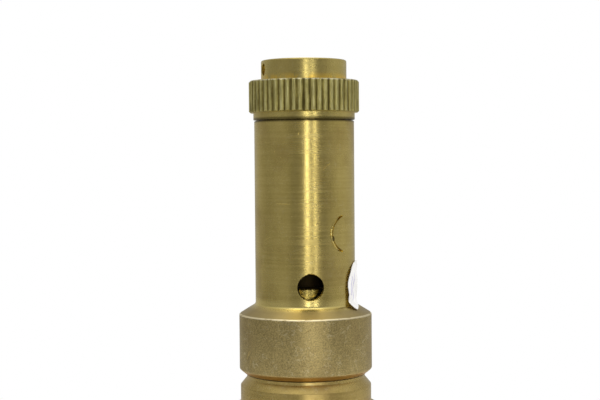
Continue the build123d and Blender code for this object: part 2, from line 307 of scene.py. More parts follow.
# colours, then shares from 0 to 1, patterns per mm, and the depth of lines, grain and pits in mm
brassLook = {
    "barrel": {
        "light": (0.80, 0.64, 0.22), "deep": (0.64, 0.50, 0.15), "tarnish": (0.34, 0.22, 0.09),
        "tarnishShare": 0.32, "rough": (0.20, 0.30), "lineRate": 2.2, "grainRate": 2.4,
        "lineShare": 0.32, "blotchShare": 0.40, "roughGrain": 0.08, "scuffs": 0.12,
        "lines": 0.0034, "grain": 0.0006, "pits": 0.010, "rubbedHighlight": (0.98, 0.86, 0.55),
        # root is the colour of a painted golden highlight on the barrel's root rounding
        "grime": (0.05, 0.035, 0.015), "cone": (0.36, 0.27, 0.12), "root": (1.0, 0.82, 0.30),
        "dent": (27.6, 12.4, 54.7),     # azimuth, radius, height in mm
    },
    "collar": {
        "light": (0.68, 0.54, 0.23), "deep": (0.38, 0.29, 0.12), "tarnish": (0.29, 0.20, 0.10),
        "tarnishShare": 0.30, "rough": (0.36, 0.48), "lineRate": 1.0, "grainRate": 3.4,
        "lineShare": 0.05, "blotchShare": 0.15, "roughGrain": 0.5, "scuffs": 0.34,
        "lines": 0.0012, "grain": 0.030, "pits": 0.030, "groove": (0.54, 0.28, 0.06),
    },
    "cap": {
        "light": (0.78, 0.64, 0.22), "deep": (0.64, 0.51, 0.16), "tarnish": (0.34, 0.24, 0.09),
        "tarnishShare": 0.30, "rough": (0.22, 0.34), "lineRate": 2.0, "grainRate": 2.4,
        "lineShare": 0.25, "blotchShare": 0.40, "roughGrain": 0.15, "scuffs": 0.1,
        "lines": 0.0030, "grain": 0.003, "pits": 0.012,
        "dirt": (0.13, 0.10, 0.03), "olive": (0.62, 0.55, 0.17), "rubbedHighlight": (1.0, 0.94, 0.46),
        "worn": (0.90, 0.86, 0.62), "golden": (1.0, 0.68, 0.13),
    },
    "inlet": {
        "light": (0.76, 0.58, 0.21), "deep": (0.55, 0.40, 0.12), "tarnish": (0.34, 0.20, 0.08),
        "tarnishShare": 0.35, "rough": (0.24, 0.36), "lineRate": 1.8, "grainRate": 2.6,
        "lineShare": 0.3, "blotchShare": 0.35, "roughGrain": 0.2, "scuffs": 0.2,
        "lines": 0.0030, "grain": 0.006, "pits": 0.015,
    },
    "inner": {
        "light": (0.86, 0.66, 0.25), "deep": (0.74, 0.53, 0.17), "tarnish": (0.42, 0.27, 0.10),
        "tarnishShare": 0.20, "rough": (0.20, 0.30), "lineRate": 2.6, "grainRate": 2.4,
        "lineShare": 0.3, "blotchShare": 0.25, "roughGrain": 0.3, "scuffs": 0.1,
        "lines": 0.0030, "grain": 0.002, "pits": 0.004, "chamberShade": (0.045, 0.03, 0.015),
    },
}


def paintBrass(made, look):
    # turned brass: fine tool lines round the axis, brown tarnish in clouds, small pits
    x, y, z = made.parts()
    reach = made.radius()
    clouds = made.noise(made.stretched(0.10, 0.10, 0.07), 1.0, 5.0, 0.6)
    speckle = made.noise(made.stretched(1, 1, 1), look["grainRate"], 3.0, 0.6)
    lines = made.noise(made.joined(x * 0.04, y * 0.04, (z + reach) * look["lineRate"]), 1.0, 4.0, 0.6)
    fineLines = made.noise(made.joined(x * 0.03, y * 0.03, (z + reach) * look["lineRate"] * 5), 1.0, 2.0)
    stain = made.between(clouds, 0.46, 0.72) * look["tarnishShare"]
    blotch = made.noise(made.stretched(0.22, 0.22, 0.12), 1.0, 6.0, 0.65)
    speckleShare = 1 - look["lineShare"] - look["blotchShare"]
    shade = lines * look["lineShare"] + speckle * speckleShare + blotch * look["blotchShare"]
    colour = made.mix(made.between(shade, 0.34, 0.66), look["deep"], look["light"])
    colour = made.mix(stain, colour, look["tarnish"])
    pitCells = made.cells(made.stretched(0.55, 0.55, 0.55))
    pit = made.between(pitCells, 0.10, 0.02) * made.between(speckle, 0.45, 0.60)
    colour = made.mix(pit * 0.6, colour, look["tarnish"])
    # scuffs: short pieces of the lines where a slow noise crosses its middle
    swirl = made.noise(made.stretched(0.5, 0.5, 0.9), 1.0, 2.0, 0.5, 0.6) - 0.5
    kept = made.between(made.noise(made.stretched(0.35, 0.35, 0.35), 1.0, 3.0), 0.50, 0.60)
    scuff = made.between(swirl * swirl, 0.0012, 0.0) * kept * look["scuffs"]
    colour = made.mix(scuff, colour, (0.94, 0.84, 0.52))
    low, high = look["rough"]
    uneven = speckle * look["roughGrain"] + lines * (0.5 - look["roughGrain"]) + clouds * 0.5
    rough = made.between(uneven, 0.35, 0.65, low, high) + stain * 0.12
    height = (lines * 0.6 + fineLines * 0.4) * look["lines"] + speckle * look["grain"] - pit * look["pits"]
    return colour, rough, height


def brassFinish(name, look):
    made = Finish(name, {"Metallic": 1.0})
    colour, rough, height = paintBrass(made, look)
    made.feed("Base Color", colour)
    made.feed("Roughness", rough)
    made.feed("Normal", made.bump(height, 1.0))
    return made


def housingFinish(name, barrel, collar):
    # bright turned barrel above, dull collar below, a painted golden highlight at the barrel's root, and a
    # painted highlight broken up by wear on the collar's top edge
    made = Finish(name, {"Metallic": 1.0})
    x, y, z = made.parts()
    low, top = housingShape["collarLow"], housingShape["collarTop"]
    coneTop, shoulder = housingShape["coneTop"], housingShape["shoulder"]
    down = made.between(z, top + 0.1, top - 0.15)
    upperColour, upperRough, upperHeight = paintBrass(made, barrel)
    lowerColour, lowerRough, lowerHeight = paintBrass(made, collar)
    colour = made.mix(down, upperColour, lowerColour)
    # painted highlight: a golden band on the rounding where the barrel rises from the cone
    root = made.between(z, coneTop + 2.15, coneTop + 0.65)
    root = root * made.between(z, coneTop - 0.35, coneTop + 0.05)
    colour = made.mix(root * 0.7, colour, barrel["root"])
    cone = made.between(z, coneTop - 0.15, coneTop - 1.25) * made.between(z, top - 0.2, top + 0.05)
    colour = made.mix(cone * 0.7, colour, barrel["cone"])
    middle = outwards(barrel["dent"][0]) * barrel["dent"][1]
    acrossX, acrossY, above = x - middle.x, y - middle.y, (z - barrel["dent"][2]) * 0.4
    dent = made.between(acrossX * acrossX + acrossY * acrossY + above * above, 0.16, 0.05)
    colour = made.mix(dent * 0.85, colour, barrel["grime"])
    joint = made.between(z, shoulder - 0.65, shoulder - 0.05)
    colour = made.mix(joint * 0.8, colour, barrel["grime"])
    # painted highlight along the collar's top edge, broken up by a wear pattern
    worn = made.noise(made.stretched(0.5, 0.5, 2.0), 1.0, 4.0)
    edge = made.between(z, top - 0.45, top - 0.3) * made.between(z, top + 0.07, top - 0.05)
    colour = made.mix(edge * made.between(worn, 0.32, 0.5), colour, barrel["rubbedHighlight"])
    # painted shade, with some dirt, in orange-brown under the collar towards the groove
    foot = made.between(z, low + 0.3, low - 0.5)
    colour = made.mix(foot * 0.7, colour, collar["groove"])
    seam = made.between(z, low - 0.95, low - 1.3)
    colour = made.mix(seam * 0.9, colour, barrel["grime"])
    made.feed("Base Color", colour)
    made.feed("Roughness", upperRough + (lowerRough - upperRough) * down + cone * 0.1)
    made.feed("Normal", made.bump(upperHeight + (lowerHeight - upperHeight) * down, 1.0))
    return made


def capFinish(name, look):
    # dirt left in the valleys of the knurl, and a painted highlight, partly wear, on the crests
    made = Finish(name, {"Metallic": 1.0})
    z = made.parts()[2]
    reach = made.radius()
    colour, rough, height = paintBrass(made, look)
    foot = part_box("lifting_cap")[0].z / mm
    low = foot + capShape["lipHeight"]
    top = low + capShape["knurlHeight"]
    knurl, head, lip = (capShape[key] for key in ("knurlRadius", "headRadius", "lipRadius"))
    band = made.between(z, low - 0.05, low + 0.2) * made.between(z, top + 0.1, top - 0.2)
    band = band * made.between(reach, knurl - 0.85, knurl - 0.65)
    streaks = made.noise(made.stretched(3.4, 3.4, 0.13), 1.0, 4.0, 0.7)
    patches = made.noise(made.stretched(0.5, 0.5, 0.22), 1.0, 4.0, 0.7)
    valley = made.between(reach + (patches - 0.5) * 0.45, knurl - 0.09, knurl - 0.35) * band
    worn = made.between(patches, 0.36, 0.60, 0.35, 1.0)
    # painted highlight on the knurl's crests, patchy where worn
    crest = made.between(reach, knurl - 0.19, knurl - 0.05) * worn * band
    crest = crest * (made.between(streaks, 0.46, 0.62) * 0.7 + 0.3)
    chamfer = made.between(z, top - 0.45, top - 0.25) * band * made.between(patches, 0.40, 0.60)
    colour = made.mix(band * 0.7, colour, look["olive"])
    colour = made.mix(made.between(streaks, 0.50, 0.38) * band * 0.72, colour, look["dirt"])
    colour = made.mix(valley * 0.72, colour, look["dirt"])
    colour = made.mix(crest * 0.85, colour, look["rubbedHighlight"])
    colour = made.mix(chamfer * 0.7, colour, look["worn"])
    headFoot = made.between(z, top + 1.9, top + 0.3) * made.between(reach, head + 0.65, head + 0.25)
    headFoot = headFoot * made.between(patches, 0.38, 0.55)
    colour = made.mix(headFoot * 0.9, colour, look["golden"])
    lipFoot = made.between(z, foot + 0.65, foot + 0.1) * made.between(reach, lip - 0.45, lip - 0.25)
    colour = made.mix(lipFoot * 0.8, colour, look["dirt"])
    height = height + streaks * 0.22 * band
    made.feed("Base Color", colour)
    made.feed("Roughness", rough + band * 0.14 + valley * 0.2)
    made.feed("Normal", made.bump(height, 1.0))
    return made


def discFinish(name, look):
    # bright turned rim, with the top and the hub made rougher and darkened as painted shade inside the
    # chamber
    made = Finish(name, {"Metallic": 1.0})
    z = made.parts()[2]
    colour, rough, height = paintBrass(made, look)
    # painted shade on the disc's top and hub, deep in the dark chamber
    shadedTop = made.between(z, look["rimTop"] - 0.25, look["rimTop"] + 0.05)
    made.feed("Base Color", made.mix(shadedTop * 0.93, colour, look["chamberShade"]))
    made.feed("Roughness", rough + shadedTop * 0.45)
    made.feed("Normal", made.bump(height, 1.0))
    return made


discLook = dict(brassLook["inner"], light=(0.54, 0.43, 0.12), deep=(0.15, 0.11, 0.03), rimTop=42.7)
steelLook = {
    "ground": {
        "light": (0.62, 0.62, 0.60), "deep": (0.42, 0.42, 0.41),
        "rough": (0.22, 0.38), "lineRate": 2.5,
    },
    "machined": {
        "light": (0.56, 0.56, 0.54), "deep": (0.36, 0.36, 0.35),
        "rough": (0.28, 0.45), "lineRate": 1.6,
    },
    "spring": {
        "light": (0.40, 0.40, 0.41), "deep": (0.24, 0.24, 0.25),
        "rough": (0.30, 0.45), "lineRate": 0.8,
    },
    "copper": {
        "light": (0.80, 0.42, 0.26), "deep": (0.52, 0.24, 0.13),
        "rough": (0.30, 0.45), "lineRate": 1.2,
    },
    "polished": {
        "light": (0.80, 0.80, 0.81), "deep": (0.70, 0.70, 0.71),
        "rough": (0.08, 0.14), "lineRate": 0.5,
    },
}


def steelFinish(name, look):
    made = Finish(name, {"Metallic": 1.0})
    x, y, z = made.parts()
    along = made.joined(x * 0.05, y * 0.05, (z + made.radius()) * look["lineRate"])
    lines = made.noise(along, 1.0, 4.0, 0.6)
    clouds = made.noise(made.stretched(0.25, 0.25, 0.25), 1.0, 4.0, 0.6)
    shade = made.between(lines * 0.5 + clouds * 0.5, 0.38, 0.62)
    made.feed("Base Color", made.mix(shade, look["deep"], look["light"]))
    low, high = look["rough"]
    made.feed("Roughness", made.between(clouds, 0.35, 0.65, low, high))
    made.feed("Normal", made.bump(lines, 0.003))
    return made


def softFinish(name, look):
    # rubber: grainy and matt
    made = Finish(name, {"Metallic": 0.0})
    grain = made.noise(made.stretched(3.0, 3.0, 3.0), 1.0, 5.0, 0.6)
    clouds = made.noise(made.stretched(0.3, 0.3, 0.3), 1.0, 3.0, 0.5)
    made.feed("Base Color", made.mix(made.between(clouds, 0.35, 0.65), look["deep"], look["light"]))
    made.feed("Roughness", made.between(grain, 0.3, 0.7, 0.55, 0.8))
    made.feed("Normal", made.bump(grain, 0.01))
    return made


rubberLook = {"light": (0.035, 0.033, 0.032), "deep": (0.015, 0.015, 0.015)}
paperLook = {
    "light": (0.93, 0.93, 0.93), "deep": (0.84, 0.84, 0.83), "ink": (0.22, 0.17, 0.62), "inkShare": 0.75,
    # middle across, swing, radians per mm, line width (mm), up from, up to
    "strokes": [
        (-4.2, 0.22, 0.9, 0.20, -2.4, 2.6),
        (-3.0, 0.40, 1.3, 0.20, -3.8, 1.8),
        (-2.1, 0.25, 1.7, 0.16, 0.6, 3.4),
    ],
}


def paperFinish(name, look):
    # white paper with a few plain pen strokes, placed by the label's flat map
    made = Finish(name, {"Metallic": 0.0, "Specular IOR Level": 0.3})
    fibres = made.noise(made.stretched(4.0, 4.0, 4.0), 1.0, 5.0, 0.6)
    clouds = made.noise(made.stretched(0.25, 0.25, 0.25), 1.0, 3.0)
    colour = made.mix(made.between(clouds, 0.4, 0.7), look["light"], look["deep"])
    flat = made.node("ShaderNodeUVMap", {"uv_map": "flat"}, {})
    split = made.node("ShaderNodeSeparateXYZ", {}, {0: flat}).socket.node
    across, up = Value(made, split.outputs[0]), Value(made, split.outputs[1])
    wobble = (made.noise(flat, 0.6, 2.0) - 0.5) * 0.5
    for middle, swing, rate, width, low, high in look["strokes"]:
        away = across - middle + wobble - up.math("SINE", up * rate) * swing
        line = made.between(away * away, width ** 2, 0.0)
        kept = made.between(up, low, low + 0.4) * made.between(up, high, high - 0.4)
        colour = made.mix(line * kept * look["inkShare"], colour, look["ink"])
    made.feed("Base Color", colour)
    made.feed("Roughness", made.between(fibres, 0.3, 0.7, 0.6, 0.8))
    made.feed("Normal", made.bump(fibres, 0.01))
    return made


lathe = {
    "steps": 216,
    "creaseAngle": 32.0,
    "roundSteps": 4,
}


def markEdges(bm):
    # smooth faces, with the edges kept sharp where two faces meet at a steep angle
    for face in bm.faces:
        face.smooth = True
    for edge in bm.edges:
        if len(edge.link_faces) == 2:
            edge.smooth = edge.calc_face_angle(0) < radians(lathe["creaseAngle"])


def turnMesh(bm, degrees, axis):
    turn = Matrix.Rotation(radians(degrees), 3, axis)
    bmesh.ops.rotate(bm, verts=bm.verts[:], cent=(0, 0, 0), matrix=turn)


def liftMesh(bm, x, z):
    bmesh.ops.translate(bm, vec=(x * mm, 0, z * mm), verts=bm.verts[:])


def fillHoles(bm):
    bmesh.ops.holes_fill(bm, edges=[edge for edge in bm.edges if edge.is_boundary])


def asObject(name, bm, finish=None):
    # a closed shape's faces are made to look outwards
    closed = not any(edge.is_boundary for edge in bm.edges)
    if closed and bm.calc_volume(signed=True) < 0:
        bmesh.ops.reverse_faces(bm, faces=bm.faces[:])
    bm.normal_update()
    markEdges(bm)
    mesh = bpy.data.meshes.new(name)
    bm.to_mesh(mesh)
    bm.free()
    piece = bpy.data.objects.new(name, mesh)
    scene.collection.objects.link(piece)
    if finish:
        mesh.materials.append(finishes[finish].material)
    return piece


def turnedShape(outline, steps=lathe["steps"]):
    # outline is a closed loop of (radius, height, rounding) in mm, turned about the axis
    bm = bmesh.new()
    points = [bm.verts.new((point[0] * mm, 0, point[1] * mm)) for point in outline]
    for first, second in zip(points, points[1:] + points[:1]):
        bm.edges.new((first, second))
    for point, corner in zip(outline, points):
        if len(point) > 2 and point[2]:
            bmesh.ops.bevel(bm, geom=[corner], offset=point[2] * mm, offset_type="OFFSET",
                            segments=lathe["roundSteps"], profile=0.5, affect="VERTICES", material=-1)
    bmesh.ops.spin(bm, geom=bm.verts[:] + bm.edges[:], cent=(0, 0, 0), axis=(0, 0, 1),
                   angle=tau, steps=steps, use_merge=True)
    bmesh.ops.remove_doubles(bm, verts=bm.verts[:], dist=1e-6)
    flat = [edge for edge in bm.edges if not edge.link_faces]
    bmesh.ops.delete(bm, geom=flat, context="EDGES")
    bmesh.ops.recalc_face_normals(bm, faces=bm.faces[:])
    return bm


def cut(piece, cutter, operation="DIFFERENCE"):
    # one boolean, applied at once, and the cutter thrown away
    step = piece.modifiers.new("cut", "BOOLEAN")
    step.operation = operation
    step.solver = "EXACT"
    step.object = cutter
    bpy.context.view_layer.update()
    view = bpy.context.evaluated_depsgraph_get()
    done = bpy.data.meshes.new_from_object(piece.evaluated_get(view))
    piece.modifiers.clear()
    old = piece.data
    piece.data = done
    bpy.data.meshes.remove(old)
    bpy.data.objects.remove(cutter)
    bm = bmesh.new()
    bm.from_mesh(piece.data)
    bmesh.ops.dissolve_degenerate(bm, edges=bm.edges[:], dist=1e-6)
    markEdges(bm)
    bm.to_mesh(piece.data)
    bm.free()


def drill(azimuth, z, radius, start, end, flareAt=None):
    # a level drill from start to end along the way out, widening past flareAt to break the hole's edge
    if flareAt is None:
        flareAt = end
    reach = end - flareAt
    outline = [(0, start), (radius, start), (radius, flareAt), (radius + reach, end), (0, end)]
    if not reach:
        outline.pop(3)
    bm = turnedShape(outline, 72)
    turnMesh(bm, 90, "X")
    turnMesh(bm, azimuth, "Z")
    liftMesh(bm, 0, z)
    bmesh.ops.recalc_face_normals(bm, faces=bm.faces[:])
    return asObject("drill", bm)


def wrapped(bm, azimuth, z, radius):
    # bends a flat shape (x along the skin, y up, z outwards, in mm) round a turned skin
    for vert in bm.verts:
        side, up, out = vert.co
        turn = radians(azimuth) + side / radius
        vert.co = Vector((sin(turn) * (radius + out), -cos(turn) * (radius + out), z + up)) * mm
    bmesh.ops.recalc_face_normals(bm, faces=bm.faces[:])


def nick(azimuth, z, radius, length, width, depth, tilt):
    # a shallow dent or scratch, as a cutter
    bm = bmesh.new()
    bmesh.ops.create_icosphere(bm, subdivisions=3, radius=1)
    bmesh.ops.scale(bm, vec=(length / 2, width / 2, depth), verts=bm.verts[:])
    turnMesh(bm, tilt, "Z")
    wrapped(bm, azimuth, z, radius)
    return asObject("nick", bm)


def finishPart(piece, body, node):
    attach(piece, body)
    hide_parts(node)


housingShape = {
    "barrelRadius": 12.45, "collarRadius": 16.56, "grooveRadius": 14.75, "neckRadius": 11.0,
    "collarLow": 22.1, "collarTop": 35.9, "coneTop": 38.25, "shoulder": 83.75, "neckEdge": 0.5,
    "collarEdge": 0.3, "barrelEdge": 0.15, "rootRounding": 0.5,
    "socketRadius": 13.0, "socketEdge": 0.4, "boreLow": 33.0, "chamberRadius": 10.0,
    "webLow": 50.6, "webTop": 53.4, "webBore": 4.5, "springBore": 9.6,
    "adjusterBore": 9.0, "adjusterLow": 79.0, "adjusterEdge": 0.6,
    "holeRadius": 3.25, "holeHeight": 43.15, "holes": 3, "holeReach": (7, 15), "holeFlare": 12.3,
}


housingMarks = {
    "ring": {"azimuth": 45.4, "height": 56.0, "radius": 4.4, "wire": 0.42, "from": 100, "to": 262},
    # azimuth, height, length, width, depth, tilt
    "barrelNicks": [
        (27.5, 54.6, 1.5, 0.55, 0.30, 105), (-12.4, 80.3, 0.9, 0.35, 0.10, 60),
        (-6.7, 79.3, 0.7, 0.3, 0.10, 20), (-41.0, 76.1, 0.7, 0.35, 0.08, 80),
        (-31.0, 63.4, 3.6, 0.3, 0.10, -3), (19.0, 72.4, 2.6, 0.3, 0.11, 40),
        (38.0, 81.5, 0.8, 0.4, 0.09, 0), (-52.0, 55.0, 1.8, 0.2, 0.06, 15),
        (150.0, 62.0, 4.0, 0.25, 0.07, 35), (-150.0, 70.0, 2.4, 0.25, 0.07, -20),
    ],
    "collarNicks": [
        (-64.0, 26.4, 3.2, 0.5, 0.16, 55), (-60.0, 24.8, 2.6, 0.6, 0.16, 80),
        (-4.0, 33.2, 1.6, 0.3, 0.09, 30), (30.0, 25.6, 1.2, 0.6, 0.10, 10),
        (-30.0, 35.3, 1.4, 0.5, 0.14, 0), (52.0, 30.6, 2.0, 0.25, 0.08, -35),
        (120.0, 28.0, 3.0, 0.3, 0.10, 25), (-140.0, 31.0, 2.2, 0.3, 0.10, -50),
    ],
}


def makeRingMark(mark, skin):
    # part of a plain struck ring, cut as half a wire lying in the barrel's skin
    bm = bmesh.new()
    bmesh.ops.create_circle(bm, radius=mark["wire"], segments=12)
    turnMesh(bm, 90, "X")
    bmesh.ops.translate(bm, vec=(mark["radius"], 0, 0), verts=bm.verts[:])
    turnMesh(bm, mark["from"], "Z")
    bmesh.ops.spin(bm, geom=bm.verts[:] + bm.edges[:], cent=(0, 0, 0), axis=(0, 0, 1),
                   angle=radians(mark["to"] - mark["from"]), steps=60)
    fillHoles(bm)
    # the strike fades towards both ends
    for vert in bm.verts:
        turn = atan2(vert.co.y, vert.co.x) % tau
        share = (turn - radians(mark["from"])) / radians(mark["to"] - mark["from"])
        vert.co.z -= mark["wire"] * 0.97 * abs(2 * share - 1) ** 2
    wrapped(bm, mark["azimuth"], mark["height"], skin)
    return asObject("ringMark", bm)


def makeHousing(shape):
    low, high = (corner.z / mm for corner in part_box("spring_housing"))
    edge, rim = shape["collarEdge"], shape["barrelEdge"]
    neck, bore = shape["neckRadius"], shape["adjusterBore"]
    outline = [
        (shape["socketRadius"] + shape["socketEdge"], low, 0), (shape["grooveRadius"], low, 0.12),
        (shape["collarRadius"], shape["collarLow"], 0.25),
        (shape["collarRadius"], shape["collarTop"] - edge, 0.08),
        (shape["collarRadius"] - edge, shape["collarTop"], 0.10),
        (shape["barrelRadius"], shape["coneTop"], shape["rootRounding"]),
        (shape["barrelRadius"], shape["shoulder"] - rim, 0.05),
        (shape["barrelRadius"] - rim, shape["shoulder"], 0.05),
        (neck, shape["shoulder"], 0),
        (neck, high - shape["neckEdge"], 0), (neck - shape["neckEdge"], high, 0),
        (bore, high, 0), (bore, shape["adjusterLow"], 0),
        (shape["springBore"], shape["adjusterLow"] - shape["adjusterEdge"], 0),
        (shape["springBore"], shape["webTop"], 0.3),
        (shape["webBore"], shape["webTop"], 0), (shape["webBore"], shape["webLow"], 0),
        (shape["chamberRadius"], shape["webLow"], 0.3), (shape["chamberRadius"], shape["boreLow"], 0),
        (shape["socketRadius"], shape["boreLow"], 0),
        (shape["socketRadius"], low + shape["socketEdge"], 0),
    ]
    piece = asObject("springHousing", turnedShape(outline), "housingBrass")
    for hole in range(shape["holes"]):
        size = (shape["holeRadius"], *shape["holeReach"], shape["holeFlare"])
        cut(piece, drill(hole * 360 / shape["holes"], shape["holeHeight"], *size))
    cut(piece, makeRingMark(housingMarks["ring"], shape["barrelRadius"]))
    for marks, skin in (("barrelNicks", "barrelRadius"), ("collarNicks", "collarRadius")):
        for azimuth, z, *size in housingMarks[marks]:
            cut(piece, nick(azimuth, z, shape[skin], *size))
    finishPart(piece, "housing", "spring_housing")


capShape = {
    "lipRadius": 12.65, "lipDrop": 0.12, "lipHeight": 1.65, "knurlRadius": 13.75, "knurlHeight": 7.95,
    "knurlEdge": 0.4, "knurlDepth": 0.40, "teeth": 54,
    "valley": (0, 0.12, 0.6, 1, 0.6, 0.12),      # share of the depth, from one crest to the next
    "headRadius": 10.65, "boreRadius": 11.06, "webLow": 91.9, "webTop": 94.6, "webBore": 3.6,
    "cupRadius": 8.0, "cupEdge": 0.3,
    "wireHoleRadius": 1.5, "wireHoleHeight": 96.4, "wireHoleAzimuth": -78.2,
    "wireHoleReach": (6, 12), "wireHoleFlare": 10.4,
}


def makeCap(shape):
    low, high = (corner.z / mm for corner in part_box("lifting_cap"))
    knurlLow = low + shape["lipHeight"]
    knurlTop = knurlLow + shape["knurlHeight"]
    inner = shape["knurlRadius"] - shape["knurlEdge"]
    low -= shape["lipDrop"]
    outline = [
        (shape["boreRadius"], low, 0), (shape["lipRadius"], low, 0.12), (shape["lipRadius"], knurlLow, 0),
        (inner, knurlLow, 0), (shape["knurlRadius"], knurlLow + shape["knurlEdge"], 0),
        (shape["knurlRadius"], knurlTop - shape["knurlEdge"], 0), (inner, knurlTop, 0),
        (shape["headRadius"], knurlTop, 0), (shape["headRadius"], high, 0.40),
        (shape["cupRadius"] + shape["cupEdge"], high, 0.05),
        (shape["cupRadius"], high - shape["cupEdge"], 0.05),
        (shape["cupRadius"], shape["webTop"], 0.2),
        (shape["webBore"], shape["webTop"], 0), (shape["webBore"], shape["webLow"], 0),
        (shape["boreRadius"], shape["webLow"], 0),
    ]
    share = shape["valley"]
    steps = shape["teeth"] * len(share)
    bm = turnedShape(outline, steps)
    # press the valleys between the teeth into the ring
    for vert in bm.verts:
        reach = vert.co.xy.length / mm
        if reach < shape["knurlRadius"] - 0.02:
            continue
        place = round(atan2(vert.co.y, vert.co.x) / tau * steps)
        tooth, step = divmod(place, len(share))
        press = share[step] * shape["knurlDepth"] * (0.86 + 0.14 * sin(tooth * 2.4) * sin(tooth * 0.7))
        vert.co.xy *= 1 - press / reach
        middle = (knurlLow + knurlTop) / 2 * mm
        vert.co.z += press * mm * (1 if vert.co.z > middle else -1)
    bmesh.ops.recalc_face_normals(bm, faces=bm.faces[:])
    piece = asObject("liftingCap", bm, "capBrass")
    for side in (0, 180):
        azimuth = shape["wireHoleAzimuth"] + side
        size = (shape["wireHoleRadius"], *shape["wireHoleReach"], shape["wireHoleFlare"])
        cut(piece, drill(azimuth, shape["wireHoleHeight"], *size))
    finishPart(piece, "cap", "lifting_cap")


hexLook = {
    "slope": 0.577,       # rise of the cone turned on a hexagon's ends
    "past": 0.2,          # how far the turned shape reaches past the corners, mm
}


def makeHexagon(name, flats, low, high, finish):
    # upright hexagon, and a radius that lies past its corners
    corner = flats / 2 / cos(pi / 6)
    bm = bmesh.new()
    bmesh.ops.create_cone(bm, cap_ends=True, segments=6, radius1=corner * mm, radius2=corner * mm,
                          depth=(high - low) * mm, matrix=Matrix.Translation((0, 0, (low + high) / 2 * mm)))
    turnMesh(bm, 30, "Z")
    past = corner + hexLook["past"]
    return asObject(name, bm, finish), past


inletShape = {
    "shoulderRadius": 16.5, "shoulderTop": 3, "shoulderHeight": 1.2, "relief": 0.4,
    "flats": 36.0, "hexEdge": 0.4, "hexTop": 13.0,
    "bodyRadius": 16.33, "bodyEdge": 18.0, "grooveRadius": 14.75, "grooveLow": 19.9, "joint": 20.6,
    "bossRadius": 12.95, "bossTop": 32.0, "nozzleRadius": 8.2, "boreRadius": 8.0, "boreTop": 22.0,
    "edge": 0.6, "sealInner": 13.6, "sealOuter": 15.6, "sealDepth": 1.6,
    "seatRadius": 6.9, "seatLow": 31.0, "throatRadius": 5.5, "throatLow": 27.0,
    "threadMajor": 13.2205, "threadRoot": 12.06, "pitch": 1.814, "threadTop": -2.9, "stepsPerTurn": 96,
    "threadSunk": 0.25, "threadEdge": 0.5, "fadeSteps": 26,
    "tooth": (0.78, 0.14, 0.08), "toothRound": 0.10,     # half widths at foot, rounding and crest, mm
}


def makeHex(shape):
    # hexagon with both ends turned to a cone
    low, high = shape["shoulderHeight"], shape["hexTop"]
    hexagon, past = makeHexagon("hexagon", shape["flats"], low, high, "inletBrass")
    inner = shape["flats"] / 2 - shape["hexEdge"]
    drop = (past - inner) * hexLook["slope"]
    outline = [(0, low), (inner, low), (past, low + drop), (past, high - drop), (inner, high), (0, high)]
    cut(hexagon, asObject("envelope", turnedShape(outline), "inletBrass"), "INTERSECT")
    return hexagon


def makeThread(shape, low):
    # one ridge wound down the stud, fading in and out at its ends
    bm = bmesh.new()
    root, major, pitch = shape["threadRoot"], shape["threadMajor"], shape["pitch"]
    turns = (shape["threadTop"] - low) / pitch - 0.9
    steps = round(turns * shape["stepsPerTurn"])
    sunk, rounded = root - shape["threadSunk"], major - shape["toothRound"]
    foot, side, crest = shape["tooth"]
    upper = [(sunk, foot), (rounded, side), (major, crest)]
    tooth = upper + [(radius, -z) for radius, z in reversed(upper)]
    points = [bm.verts.new((radius * mm, 0, (shape["threadTop"] - 0.3 + z) * mm)) for radius, z in tooth]
    edges = [bm.edges.new(pair) for pair in zip(points, points[1:] + points[:1])]
    bmesh.ops.spin(bm, geom=points + edges, cent=(0, 0, 0), axis=(0, 0, 1), angle=-turns * tau,
                   dvec=(0, 0, -turns * pitch * mm / steps), steps=steps)
    bm.verts.ensure_lookup_table()
    for index, vert in enumerate(bm.verts):
        step = index // len(tooth)
        edge = min(step, steps - step) / shape["fadeSteps"]
        if edge < 1:
            reach = vert.co.xy.length / mm
            wanted = sunk + (reach - sunk) * (edge * 0.9 + 0.02)
            vert.co.xy *= wanted / reach
    fillHoles(bm)
    bmesh.ops.recalc_face_normals(bm, faces=bm.faces[:])
    return asObject("thread", bm, "inletBrass")


